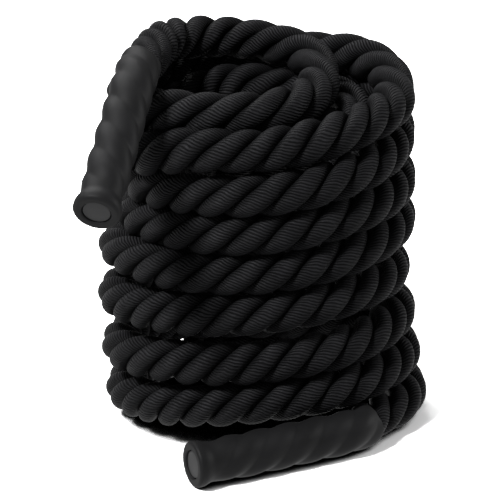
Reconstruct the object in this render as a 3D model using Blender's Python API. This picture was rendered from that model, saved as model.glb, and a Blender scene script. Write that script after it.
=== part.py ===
"""Battle rope put away in a standing coil, with a shrunk rubber grip on each of its ends.

Metres, +Z up, X to the right, Y away from the viewer. The origin is on the floor, under the middle
of the part's box. The three strands of the rope are laid left-handed. They show one by one inside
the grips, where they are cut flush, whipped and capped. The coil leaves the lay out.
"""
import math

import bmesh
import bpy
import numpy as np

# Fits and tools
fit_gap = 0.0003
weld_distance = 0.000001
cutter_overrun = 0.050

# Rope. Its turns press into each other's grooves, so the smooth tube of the coil is thinner.
rope_diameter = 0.050
lay_length = 0.1225
strand_count = 3
coil_tube_share = 0.90
coil_tube_diameter = rope_diameter * coil_tube_share
coil_axis_x = 0.0071
coil_axis_y = 0.0579

# Rest on the floor: the faceted tube is cut flat a tenth of its diameter deep
floor_flat_depth = coil_tube_diameter / 10
rest_height = coil_tube_diameter / 2 - floor_flat_depth

# Strands inside the grips, drawn in by the shrunk rubber and once more at their whipped ends
strand_draw_in = 0.0010
strand_crest_radius = rope_diameter / 2 - strand_draw_in
strand_gap = 0.0004
strand_squeeze_share = 0.93
strand_squeeze_run = 0.008

# Grips
sleeve_length = 0.250
sleeve_wall = 0.0022
sleeve_bore_gap = 0.0005
sleeve_lobe_depth = 0.0034
sleeve_lip_flare = 0.0006
sleeve_lip_depth = 0.0050
sleeve_edge_round = 0.0012
sleeve_end_fade = 0.020
sleeve_floor_clearance = 0.0002
sleeve_bore_radius = strand_crest_radius + sleeve_bore_gap
sleeve_crest_radius = sleeve_bore_radius + sleeve_wall
sleeve_lip_radius = sleeve_crest_radius + sleeve_lip_flare

# End caps
cap_face_radius = 0.0170
cap_flange_gap = 0.0007
cap_flange_radius = sleeve_bore_radius - sleeve_lobe_depth - cap_flange_gap
cap_flange_thickness = 0.0030
cap_recess_depth = 0.0015
cap_edge_round = 0.0008

# Whipping round the strands' ends
whipping_width = 0.014
whipping_setback = 0.0035
whipping_lobe_depth = 0.0030
whipping_bore_gap = 0.0006

# Facets
loop_points = 24
tube_bevel_resolution = 1
sleeve_facets = 24
sleeve_ring_pitch = 0.0062
strand_facets = 8
strand_ring_pitch = 0.0064
whipping_ring_pitch = 0.0035
axis_steps = 250

# The coil's turns from the top end down, in rope diameters, seen from above and wound clockwise.
# Each row holds the left, back, right and front of one turn.
turn_distance_shares = (
    (2.75, 2.02, 1.33, 2.08),
    (3.26, 2.88, 3.10, 2.84),
    (3.28, 1.70, 2.06, 1.82),
    (1.95, 3.08, 3.10, 3.04),
    (2.75, 2.98, 3.15, 2.92),
    (2.88, 2.90, 3.17, 2.82),
    (3.38, 2.90, 3.02, 2.82),
    (3.43, 2.90, 3.18, 2.80),
    (3.36, 2.95, 3.30, 2.78),
    (3.27, 3.10, 3.47, 2.30),
)
turn_height_shares = (
    (8.56, 8.39, 8.02, 7.72),
    (7.68, 7.86, 7.66, 7.02),
    (6.66, 7.28, 7.26, 6.50),
    (6.20, 6.95, 6.68, 6.04),
    (5.71, 5.35, 5.64, 5.09),
    (4.76, 4.10, 4.58, 4.11),
    (3.88, 2.98, 3.45, 3.14),
    (2.75, 1.92, 2.24, 1.92),
    (1.48, 0.93, 1.24, 0.92),
    (0.25, 0.00, 0.00, 0.00),
)
# Guide values before the first row and after the last one, which only set the ends' directions.
guide_distance_shares = (3.20, 0.60)
guide_height_shares = (8.40, 0.00)
# Local moves of the rope: where (quarter turns), half width (quarter turns), distance, height.
# The third turn lies inside the coil, and the fourth slips out under it at the left.
local_move_shares = (
    (0.50, 0.60, 0.18, 0.02),
    (3.90, 0.38, -0.04, -0.26),
    (4.65, 0.50, 0.06, -0.03),
    (5.60, 0.80, 0.10, 0.20),
    (7.33, 0.36, 0.12, 0.145),
    (7.72, 0.42, 0.12, -0.06),
    (8.10, 0.42, 0.14, -0.26),
    (8.45, 0.60, -0.18, -0.05),
    (8.62, 0.70, 0.00, 0.34),
    (9.50, 0.60, 0.12, -0.05),
    (12.55, 1.10, -0.44, -0.33),
    (13.50, 0.70, 0.00, 0.10),
)
# In quarter turns: where the wound run starts and ends, and where it rises to the thicker grip.
wound_start_share = -0.07
wound_end_share = 38.28
floor_rise_shares = (37.30, 38.10)
# Directions in which the grips point once they have bent (right, away, up), and how much of their
# length they bend over.
top_grip_direction_shares = (-0.175, -0.83, -0.53)
top_grip_bend_share = 0.40
bottom_grip_direction_shares = (-0.90, -0.436, 0.0)
bottom_grip_bend_share = 0.25


def clear_scene():
    """Remove what the scene holds."""
    for item in list(bpy.data.objects):
        bpy.data.objects.remove(item, do_unlink=True)


def finish_material(name, colour, roughness):
    """A Principled material of one colour and roughness."""
    material = bpy.data.materials.new(name)
    material.use_nodes = True
    shader = material.node_tree.nodes["Principled BSDF"]
    shader.inputs["Base Color"].default_value = (*colour, 1.0)
    shader.inputs["Roughness"].default_value = roughness
    shader.inputs["Metallic"].default_value = 0.0
    return material


def unit(vector):
    """The vector's direction."""
    return np.asarray(vector, float) / np.linalg.norm(vector)


def eased(share):
    """Smooth step from 0 to 1."""
    share = np.clip(share, 0.0, 1.0)
    return share * share * (3.0 - 2.0 * share)


def smooth_through(values, at):
    """Read a smooth curve through evenly spaced values (Catmull-Rom) at the given places."""
    values = np.asarray(values, float)
    first = np.clip(np.floor(at).astype(int), 0, len(values) - 2)
    t = at - first
    before, here, after, later = (values[np.clip(first + k, 0, len(values) - 1)] for k in (-1, 0, 1, 2))
    linear = (after - before) * t
    square = (2 * before - 5 * here + 4 * after - later) * t**2
    cube = (3 * here - before - 3 * after + later) * t**3
    return 0.5 * (2 * here + linear + square + cube)


def wound_run(quarters):
    """Points of the rope's middle at the given quarter turns from the coil's left side."""
    ahead, behind = guide_distance_shares
    distances = [ahead, *(value for row in turn_distance_shares for value in row), behind]
    distance = smooth_through(distances, quarters + 1)
    ahead, behind = guide_height_shares
    heights = [ahead, *(value for row in turn_height_shares for value in row), behind]
    height = smooth_through(heights, quarters + 1)
    for where, half_width, move_out, move_up in local_move_shares:
        weight = np.cos(np.clip((quarters - where) / half_width, -1, 1) * math.pi / 2) ** 2
        distance = distance + move_out * weight
        height = height + move_up * weight
    rise_start, rise_end = floor_rise_shares
    rise = sleeve_lip_radius + sleeve_floor_clearance - rest_height
    lift = rise * eased((quarters - rise_start) / (rise_end - rise_start))
    angle = quarters * math.pi / 2
    x = coil_axis_x - distance * rope_diameter * np.cos(angle)
    y = coil_axis_y + distance * rope_diameter * np.sin(angle)
    return np.stack([x, y, rest_height + height * rope_diameter + lift], axis=-1)


def coil_route():
    """The coil's points with a straight run of one tube diameter at each end."""
    count = round((wound_end_share - wound_start_share) * loop_points / 4)
    run = wound_run(np.linspace(wound_start_share, wound_end_share, count + 1))
    top_end = run[0] + unit(run[0] - run[1]) * coil_tube_diameter
    bottom_end = run[-1] + unit(run[-1] - run[-2]) * coil_tube_diameter
    return np.concatenate([top_end[None], run, bottom_end[None]])


def least_gap_to_itself(route, diameter):
    """Least distance between parts of the route over three diameters apart, less the diameter."""
    shares = np.linspace(0, len(route) - 1, 8 * len(route))
    fine = np.stack([np.interp(shares, np.arange(len(route)), route[:, k]) for k in range(3)], axis=-1)
    run = np.concatenate([[0], np.cumsum(np.linalg.norm(np.diff(fine, axis=0), axis=1))])
    least = math.inf
    for index, point in enumerate(fine):
        far = fine[run > run[index] + 3 * diameter]
        if len(far):
            least = min(least, np.linalg.norm(far - point, axis=1).min())
    return least - diameter


class GripAxis:
    """Middle line of one grip: it leaves the coil straight on and bends to its own direction."""

    def __init__(self, coil_end, before_end, direction, bend_share):
        start_direction = unit(coil_end - before_end)
        start = coil_end + start_direction * fit_gap
        middle_shares = (np.arange(axis_steps) + 0.5) / axis_steps
        weight = eased(middle_shares / bend_share)[:, None]
        steps = start_direction * (1 - weight) + unit(direction) * weight
        steps /= np.linalg.norm(steps, axis=1)[:, None]
        step_length = sleeve_length / axis_steps
        self.points = np.concatenate([start[None], start + np.cumsum(steps, axis=0) * step_length])
        self.tangents = np.concatenate([steps, steps[-1:]])
        self.sides = self._carried_sides()

    def _carried_sides(self):
        """A side direction carried along the line without turning round it."""
        side = unit(np.cross(self.tangents[0], (0.0, 0.0, 1.0)))
        sides = []
        for tangent in self.tangents:
            side = unit(side - tangent * side.dot(tangent))
            sides.append(side)
        return np.array(sides)

    def frame(self, distance):
        """Place and two side directions at a distance from the mouth."""
        at = distance / sleeve_length * axis_steps
        place, tangent, side = (
            np.array([np.interp(at, np.arange(len(rows)), rows[:, k]) for k in range(3)])
            for rows in (self.points, self.tangents, self.sides)
        )
        tangent = unit(tangent)
        side = unit(side - tangent * side.dot(tangent))
        return place, side, np.cross(tangent, side)

    def ring(self, distance, angles, radii):
        """Points of one ring square to the line, at the given angles and radii."""
        place, side, other = self.frame(distance)
        return place + (radii * np.cos(angles))[:, None] * side + (radii * np.sin(angles))[:, None] * other


def lay_angle(distance):
    """Angle of the first strand at a distance from the mouth; the lay is left-handed."""
    return -2 * math.pi * distance / lay_length


def lobed_radii(distance, angles, crest, depth):
    """Radii of a section with one lobe over each strand."""
    wave = np.cos(strand_count * (angles - lay_angle(distance)))
    return crest - depth / 2 + depth / 2 * wave


def even_angles(count):
    """Angles of one ring."""
    return np.arange(count) * 2 * math.pi / count


def evenly(first, last, pitch):
    """Distances from first to last, at most a pitch apart."""
    return list(np.linspace(first, last, max(2, math.ceil((last - first) / pitch) + 1)))


def loft(name, rings, material, closed=False):
    """Skin rings of equal count into one closed solid, as a ring-shaped shell or with end faces."""
    mesh_maker = bmesh.new()
    rows = [[mesh_maker.verts.new(point) for point in ring] for ring in rings]
    pairs = list(zip(rows, rows[1:]))
    if closed:
        pairs.append((rows[-1], rows[0]))
    for row, following in pairs:
        for k in range(len(row)):
            after = (k + 1) % len(row)
            mesh_maker.faces.new((row[k], row[after], following[after], following[k]))
    if not closed:
        mesh_maker.faces.new(rows[0][::-1])
        mesh_maker.faces.new(rows[-1])
    bmesh.ops.recalc_face_normals(mesh_maker, faces=mesh_maker.faces)
    mesh = bpy.data.meshes.new(name)
    mesh_maker.to_mesh(mesh)
    mesh_maker.free()
    mesh.shade_smooth()
    mesh.set_sharp_from_angle(angle=math.radians(40))
    mesh.materials.append(material)
    item = bpy.data.objects.new(name, mesh)
    bpy.context.scene.collection.objects.link(item)
    return item


def make_coil(material):
    """The whole rope between the grips, as one unbroken wound tube cut flat where it stands."""
    route = coil_route()
    print(f"least gap of the coil to itself: {least_gap_to_itself(route, coil_tube_diameter):.5f} m")
    curve = bpy.data.curves.new("rope_coil_line", "CURVE")
    curve.dimensions = "3D"
    curve.bevel_depth = coil_tube_diameter / 2
    curve.bevel_resolution = tube_bevel_resolution
    curve.use_fill_caps = True
    spline = curve.splines.new("POLY")
    spline.points.add(len(route) - 1)
    for point, place in zip(spline.points, route):
        point.co = (*place, 1.0)
    line = bpy.data.objects.new("rope_coil_line", curve)
    bpy.context.scene.collection.objects.link(line)
    evaluated = line.evaluated_get(bpy.context.evaluated_depsgraph_get())
    mesh = bpy.data.meshes.new_from_object(evaluated)
    bpy.data.objects.remove(line, do_unlink=True)
    mesh_maker = bmesh.new()
    mesh_maker.from_mesh(mesh)
    bmesh.ops.remove_doubles(mesh_maker, verts=mesh_maker.verts, dist=weld_distance)
    bmesh.ops.recalc_face_normals(mesh_maker, faces=mesh_maker.faces)
    mesh_maker.to_mesh(mesh)
    mesh_maker.free()
    mesh.name = "rope_coil"
    mesh.materials.clear()
    mesh.materials.append(material)
    coil = bpy.data.objects.new("rope_coil", mesh)
    bpy.context.scene.collection.objects.link(coil)
    cut_flat_at_floor(coil)
    return route


def cut_flat_at_floor(item):
    """Take off what lies under the floor with a live Boolean."""
    reach = 2 * max(max(row) for row in turn_distance_shares) * rope_diameter + 2 * cutter_overrun
    place = (coil_axis_x, coil_axis_y, -cutter_overrun / 2)
    bpy.ops.mesh.primitive_cube_add(size=1, location=place, scale=(reach, reach, cutter_overrun))
    cutter = bpy.context.object
    cutter.name = "floor_cutter"
    cutter.hide_render = True
    cutter.display_type = "WIRE"
    cut = item.modifiers.new("floor_flat", "BOOLEAN")
    cut.operation = "DIFFERENCE"
    cut.solver = "EXACT"
    cut.object = cutter


def strand_section(radius):
    """Middle, inward and sidewise half sizes of a strand's section square to the rope."""
    middle = strand_crest_radius - radius
    slope = math.atan(2 * math.pi * middle / lay_length)
    return middle, radius, radius / math.cos(slope)


def strand_radius():
    """Radius of the thickest strand that leaves the gap to its neighbours."""
    half_angle = math.pi / strand_count
    least, most = 0.0, strand_crest_radius
    for _ in range(40):
        radius = (least + most) / 2
        middle, inward, sidewise = strand_section(radius)
        reach = math.hypot(inward * math.sin(half_angle), sidewise * math.cos(half_angle))
        if middle * math.sin(half_angle) - reach > strand_gap / 2:
            least = radius
        else:
            most = radius
    return least


def make_strands(axis, end_name, material):
    """The three strands' last run, each a solid cut square at the coil and squeezed at its end."""
    squeeze_start = strands_end() - whipping_setback - whipping_width - strand_squeeze_run
    middle, inward, sidewise = strand_section(strand_radius())
    angles = even_angles(strand_facets)
    for number in range(strand_count):
        rings = []
        for distance in evenly(0.0, strands_end(), strand_ring_pitch):
            squeezed = eased((distance - squeeze_start) / strand_squeeze_run)
            scale = 1 - (1 - strand_squeeze_share) * squeezed
            along = scale * (middle + inward * np.cos(angles))
            across = scale * sidewise * np.sin(angles)
            turn = lay_angle(distance) + number * 2 * math.pi / strand_count
            rings.append(axis.ring(distance, np.arctan2(across, along) + turn, np.hypot(along, across)))
        loft(f"strand_end_{end_name}_{number + 1}", rings, material)


def cap_back():
    """Distance from the mouth to the back of the end cap."""
    return sleeve_length - sleeve_lip_depth - fit_gap - cap_flange_thickness


def strands_end():
    """Distance from the mouth at which the strands are cut."""
    return cap_back() - fit_gap


def make_whipping(axis, end_name, material):
    """The binding round the squeezed strands, which fills the room under the grip."""
    last = strands_end() - whipping_setback
    angles = even_angles(sleeve_facets)
    inside_crest = strand_crest_radius * strand_squeeze_share + fit_gap
    outside, inside = [], []
    for distance in evenly(last - whipping_width, last, whipping_ring_pitch):
        outer = lobed_radii(distance, angles, sleeve_bore_radius - whipping_bore_gap, sleeve_lobe_depth)
        inner = lobed_radii(distance, angles, inside_crest, whipping_lobe_depth)
        outside.append(axis.ring(distance, angles, outer))
        inside.append(axis.ring(distance, angles, inner))
    loft(f"whipping_{end_name}", outside + inside[::-1], material, closed=True)


def make_sleeve(axis, end_name, material):
    """The grip: shrunk rubber tube that shows the strands as lobes and closes to a lip at its end."""
    angles = even_angles(sleeve_facets)
    lip_start = sleeve_length - sleeve_lip_depth
    fade_start = sleeve_length - sleeve_end_fade
    round_rows = evenly(sleeve_edge_round, sleeve_length - sleeve_edge_round, sleeve_ring_pitch)
    outside = []
    for distance in [0.0, *round_rows, sleeve_length]:
        radii = lobed_radii(distance, angles, sleeve_crest_radius, sleeve_lobe_depth)
        fade = eased((distance - fade_start) / (lip_start - fade_start))
        radii = radii * (1 - fade) + sleeve_lip_radius * fade
        if distance in (0.0, sleeve_length):
            radii = radii - sleeve_edge_round
        outside.append(axis.ring(distance, angles, radii))
    inside = []
    for distance in evenly(0.0, lip_start, sleeve_ring_pitch):
        radii = lobed_radii(distance, angles, sleeve_bore_radius, sleeve_lobe_depth)
        inside.append(axis.ring(distance, angles, radii))
    for distance in (lip_start, sleeve_length):
        inside.append(axis.ring(distance, angles, np.full(sleeve_facets, cap_face_radius + fit_gap)))
    loft(f"grip_sleeve_{end_name}", outside + inside[::-1], material, closed=True)


def make_cap(axis, end_name, material):
    """The end cap: a flange held behind the lip, with a boss that fills the lip's opening."""
    back = cap_back()
    front = sleeve_length - cap_recess_depth
    profile = (
        (back, cap_flange_radius),
        (back + cap_flange_thickness, cap_flange_radius),
        (back + cap_flange_thickness, cap_face_radius),
        (front - cap_edge_round, cap_face_radius),
        (front, cap_face_radius - cap_edge_round),
    )
    angles = even_angles(sleeve_facets)
    rings = [axis.ring(distance, angles, np.full(sleeve_facets, radius)) for distance, radius in profile]
    loft(f"end_cap_{end_name}", rings, material)


def main():
    """Build the coil and both dressed ends."""
    clear_scene()
    rope_black = finish_material("rope_yarn", (0.008, 0.008, 0.009), 0.85)
    strand_black = finish_material("strand_yarn", (0.012, 0.012, 0.013), 0.9)
    sleeve_rubber = finish_material("shrunk_rubber", (0.022, 0.022, 0.024), 0.55)
    cap_rubber = finish_material("cap_rubber", (0.045, 0.045, 0.048), 0.6)
    tape = finish_material("whipping_tape", (0.016, 0.016, 0.016), 0.7)
    route = make_coil(rope_black)
    ends = (
        ("top", route[0], route[1], top_grip_direction_shares, top_grip_bend_share),
        ("bottom", route[-1], route[-2], bottom_grip_direction_shares, bottom_grip_bend_share),
    )
    for end_name, coil_end, before_end, direction, bend_share in ends:
        axis = GripAxis(coil_end, before_end, direction, bend_share)
        make_strands(axis, end_name, strand_black)
        make_whipping(axis, end_name, tape)
        make_sleeve(axis, end_name, sleeve_rubber)
        make_cap(axis, end_name, cap_rubber)


main()
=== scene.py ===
"""Battle rope put away in a standing coil: laid yarn, shrunk rubber grips and a plain white studio.

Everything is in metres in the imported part's own frame: +Z up, +X to the right of the picture and +Y
away from the camera. The rope's route repeats the one of the part's solids. The three strands run
from one grip's cap through the whole coil to the other's.
"""

import logging
import math
from collections.abc import Sequence
from dataclasses import dataclass
from enum import Enum
from typing import Any

import bpy
import numpy as np
from mathutils import Matrix


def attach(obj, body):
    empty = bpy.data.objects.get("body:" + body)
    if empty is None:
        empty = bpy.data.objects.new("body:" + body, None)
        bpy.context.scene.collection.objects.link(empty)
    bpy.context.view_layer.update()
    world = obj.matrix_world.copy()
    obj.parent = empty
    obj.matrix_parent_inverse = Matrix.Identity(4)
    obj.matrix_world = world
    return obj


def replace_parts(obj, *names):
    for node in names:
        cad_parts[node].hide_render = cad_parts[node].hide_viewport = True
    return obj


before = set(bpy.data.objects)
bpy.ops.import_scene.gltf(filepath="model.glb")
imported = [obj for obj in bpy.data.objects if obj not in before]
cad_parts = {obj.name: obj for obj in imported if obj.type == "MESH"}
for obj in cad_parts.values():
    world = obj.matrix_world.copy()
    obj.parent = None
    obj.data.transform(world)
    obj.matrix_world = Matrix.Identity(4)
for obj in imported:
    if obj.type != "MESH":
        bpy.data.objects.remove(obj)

log = logging.getLogger("battle_rope")

Array = np.ndarray
Colour = tuple[float, float, float]

BODY = "root"
UP = np.array([0.0, 0.0, 1.0])
MILLIMETRES_IN_A_METRE = 1000.0
HUNDREDTHS_IN_ONE = 100.0
MIX_COLOUR_INPUTS = (6, 7)
MIX_COLOUR_OUTPUT = 2


def unit(vectors: Array) -> Array:
    """Scale vectors to length one.

    Args:
        vectors: One vector, or rows of them.

    Returns:
        The same directions with length one.
    """
    vectors = np.asarray(vectors, float)
    return vectors / np.linalg.norm(vectors, axis=-1, keepdims=True)


def eased(share: Array | float) -> Array:
    """Smooth step: 3s^2 - 2s^3 of the share held between 0 and 1."""
    share = np.clip(share, 0.0, 1.0)
    return share * share * (3.0 - 2.0 * share)


def smooth_through(values: Sequence[float], at: Array) -> Array:
    """Read a Catmull-Rom curve through evenly spaced values.

    Args:
        values: The values at places 0, 1, 2 and so on.
        at: The places to read.

    Returns:
        The curve's value at each place.
    """
    table = np.asarray(values, float)
    first = np.clip(np.floor(at).astype(int), 0, len(table) - 2)
    t = at - first
    before, here, after, later = (table[np.clip(first + k, 0, len(table) - 1)] for k in (-1, 0, 1, 2))
    linear = (after - before) * t
    square = (2 * before - 5 * here + 4 * after - later) * t**2
    cube = (3 * here - before - 3 * after + later) * t**3
    return 0.5 * (2 * here + linear + square + cube)


def lengths_along(points: Array) -> Array:
    """Distance of each point of a line from its first, along the line."""
    return np.concatenate([[0.0], np.cumsum(np.linalg.norm(np.diff(points, axis=0), axis=1))])


def read_rows(rows: Array, at: Array) -> Array:
    """Read rows of vectors between their whole numbers, each column by linear interpolation."""
    numbers = np.arange(len(rows))
    return np.stack([np.interp(at, numbers, column) for column in rows.T], axis=-1)


def read_eased(rows: Sequence[Sequence[float]], at: Array) -> Array:
    """Read rows that stand at uneven places, with a smooth step from each row to the next.

    Args:
        rows: Rows of a place and its values.
        at: The places to read.

    Returns:
        The values, one row for each place.
    """
    table = np.array(rows)
    after = np.clip(np.searchsorted(table[:, 0], at), 1, len(table) - 1)
    first, second = table[after - 1], table[after]
    share = eased((at - first[:, 0]) / (second[:, 0] - first[:, 0]))[:, None]
    return first[:, 1:] + (second[:, 1:] - first[:, 1:]) * share


class End(Enum):
    """The rope's two dressed ends."""

    TOP = "top"
    BOTTOM = "bottom"


# How much shorter than the gripped length each sleeve is, at its mouth.
MOUTH_TRIM = {End.TOP: 0.0, End.BOTTOM: 0.012}


@dataclass(frozen=True)
class GripAim:
    """Where a grip points once it has bent, and the share of its length that it bends over."""

    direction: tuple[float, float, float]
    bend_share: float


@dataclass(frozen=True)
class RopeRoute:
    """The way of the rope's middle, from the cap of the top grip to the cap of the bottom one.

    Distances and heights of the turns are in rope diameters, as in the part's source. Each row holds
    the left, back, right and front of one turn, wound clockwise from the top down. A local move
    holds its quarter turn, its half width in quarter turns, and how far it goes out and up.
    """

    rope_diameter: float = 0.050
    tube_share: float = 0.90
    cut_share: float = 0.10
    axis_x: float = 0.0071
    axis_y: float = 0.0579
    grip_length: float = 0.250
    grip_floor_height: float = 0.0275
    mouth_gap: float = 0.0003
    turn_distances: tuple[tuple[float, ...], ...] = (
        (2.75, 2.02, 1.33, 2.08),
        (3.26, 2.88, 3.10, 2.84),
        (3.28, 1.70, 2.06, 1.82),
        (1.95, 3.08, 3.10, 3.04),
        (2.75, 2.98, 3.15, 2.92),
        (2.88, 2.90, 3.17, 2.82),
        (3.38, 2.90, 3.02, 2.82),
        (3.43, 2.90, 3.18, 2.80),
        (3.36, 2.95, 3.30, 2.78),
        (3.27, 3.10, 3.47, 2.30),
    )
    turn_heights: tuple[tuple[float, ...], ...] = (
        (8.56, 8.39, 8.02, 7.72),
        (7.68, 7.86, 7.66, 7.02),
        (6.66, 7.28, 7.26, 6.50),
        (6.20, 6.95, 6.68, 6.04),
        (5.71, 5.35, 5.64, 5.09),
        (4.76, 4.10, 4.58, 4.11),
        (3.88, 2.98, 3.45, 3.14),
        (2.75, 1.92, 2.24, 1.92),
        (1.48, 0.93, 1.24, 0.92),
        (0.25, 0.00, 0.00, 0.00),
    )
    guide_distances: tuple[float, float] = (3.20, 0.60)
    guide_heights: tuple[float, float] = (8.40, 0.00)
    local_moves: tuple[tuple[float, float, float, float], ...] = (
        (0.50, 0.60, 0.18, 0.02),
        (3.90, 0.38, -0.04, -0.26),
        (4.65, 0.50, 0.06, -0.03),
        (5.60, 0.80, 0.10, 0.20),
        (7.33, 0.36, 0.12, 0.145),
        (7.72, 0.42, 0.12, -0.06),
        (8.10, 0.42, 0.14, -0.26),
        (8.45, 0.60, -0.18, -0.05),
        (8.62, 0.70, 0.00, 0.34),
        (9.50, 0.60, 0.12, -0.05),
        (12.55, 1.10, -0.44, -0.33),
        (13.50, 0.70, 0.00, 0.10),
    )
    wound_start: float = -0.07
    wound_end: float = 38.28
    floor_rise: tuple[float, float] = (37.30, 38.10)
    loop_points: int = 24
    finer_points: int = 16
    top_grip: GripAim = GripAim((-0.175, -0.83, -0.53), 0.40)
    bottom_grip: GripAim = GripAim((-0.90, -0.436, 0.0), 0.25)
    grip_steps: int = 250
    fine_step: float = 0.0015
    smoothing: float = 0.008
    smoothing_reach: float = 3.0
    floor_softness: float = 0.0015

    @property
    def tube_diameter(self) -> float:
        """Diameter of the smooth tube that stands for the rope in the part's solids."""
        return self.rope_diameter * self.tube_share

    @property
    def rest_height(self) -> float:
        """Height of the tube's middle where its cut-off underside stands on the floor."""
        return self.tube_diameter * (0.5 - self.cut_share)

    @staticmethod
    def _through_turns(rows: Sequence[Sequence[float]], guides: Sequence[float], quarters: Array) -> Array:
        """Read a table of the turns, with a guide value before and after it, at each quarter turn."""
        values = [guides[0], *(value for row in rows for value in row), guides[1]]
        return smooth_through(values, quarters + 1)

    def wound(self, quarters: Array) -> Array:
        """Work out the rope's middle in the coil.

        The distance from the coil's axis and the height are smooth curves through the tables, plus a
        raised-cosine move at each listed place and an eased rise to the bottom grip.

        Args:
            quarters: Quarter turns from the coil's left side.

        Returns:
            One point for each quarter-turn value.
        """
        distance = self._through_turns(self.turn_distances, self.guide_distances, quarters)
        height = self._through_turns(self.turn_heights, self.guide_heights, quarters)
        for where, half_width, move_out, move_up in self.local_moves:
            weight = np.cos(np.clip((quarters - where) / half_width, -1, 1) * math.pi / 2) ** 2
            distance = distance + move_out * weight
            height = height + move_up * weight
        rise_start, rise_end = self.floor_rise
        rise = self.grip_floor_height - self.rest_height
        lift = rise * eased((quarters - rise_start) / (rise_end - rise_start))
        angle = quarters * math.pi / 2
        x = self.axis_x - distance * self.rope_diameter * np.cos(angle)
        y = self.axis_y + distance * self.rope_diameter * np.sin(angle)
        return np.stack([x, y, self.rest_height + height * self.rope_diameter + lift], axis=-1)

    def grip_line(self, coil_end: Array, before_end: Array, aim: GripAim) -> Array:
        """Work out the middle of one grip, from its mouth outwards.

        The direction goes from the coil's own to the grip's by a smooth step, and is summed up.

        Args:
            coil_end: Last point of the coil's tube.
            before_end: The point before it.
            aim: The grip's own direction and bend.

        Returns:
            Points from the mouth to the free end.
        """
        start_direction = unit(coil_end - before_end)
        start = coil_end + start_direction * self.mouth_gap
        shares = (np.arange(self.grip_steps) + 0.5) / self.grip_steps
        weight = eased(shares / aim.bend_share)[:, None]
        steps = unit(start_direction * (1 - weight) + unit(np.array(aim.direction)) * weight)
        step_length = self.grip_length / self.grip_steps
        return np.concatenate([start[None], start + np.cumsum(steps, axis=0) * step_length])

    def line(self) -> Array:
        """Join grips, straight runs and coil into one line, evenly spaced, smoothed and on the floor.

        Returns:
            Points a fine step apart, from the top grip's free end to the bottom grip's.
        """
        count = round((self.wound_end - self.wound_start) * self.loop_points / 4)
        corners = self.wound(np.linspace(self.wound_start, self.wound_end, count + 1))
        top_end = corners[0] + unit(corners[0] - corners[1]) * self.tube_diameter
        bottom_end = corners[-1] + unit(corners[-1] - corners[-2]) * self.tube_diameter
        top = self.grip_line(top_end, corners[0], self.top_grip)
        bottom = self.grip_line(bottom_end, corners[-1], self.bottom_grip)
        coil = self.wound(np.linspace(self.wound_start, self.wound_end, count * self.finer_points + 1))
        rough = np.concatenate([top[::-1], coil, bottom])
        run = lengths_along(rough)
        places = np.linspace(0.0, run[-1], round(run[-1] / self.fine_step) + 1)
        even = np.stack([np.interp(places, run, rough[:, k]) for k in range(3)], axis=-1)
        smooth = self._smoothed(even)
        lowest = self.rope_diameter / 2
        sink = (lowest - smooth[:, 2]) / self.floor_softness
        smooth[:, 2] += self.floor_softness * np.logaddexp(0.0, sink)
        return smooth

    def _smoothed(self, points: Array) -> Array:
        """Even out kinks with a bell-shaped weight along the line, carried on straight past its ends.

        Args:
            points: The line, in fine steps.

        Returns:
            As many points, smoothed.
        """
        reach = round(self.smoothing_reach * self.smoothing / self.fine_step)
        offsets = np.arange(-reach, reach + 1)
        weights = np.exp(-0.5 * (offsets * self.fine_step / self.smoothing) ** 2)
        weights /= weights.sum()
        steps = np.arange(reach, 0, -1)[:, None]
        before = points[0] - steps * (points[1] - points[0])
        after = points[-1] + steps[::-1] * (points[-1] - points[-2])
        padded = np.concatenate([before, points, after])
        return np.stack([np.convolve(padded[:, k], weights, mode="valid") for k in range(3)], axis=-1)


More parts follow.
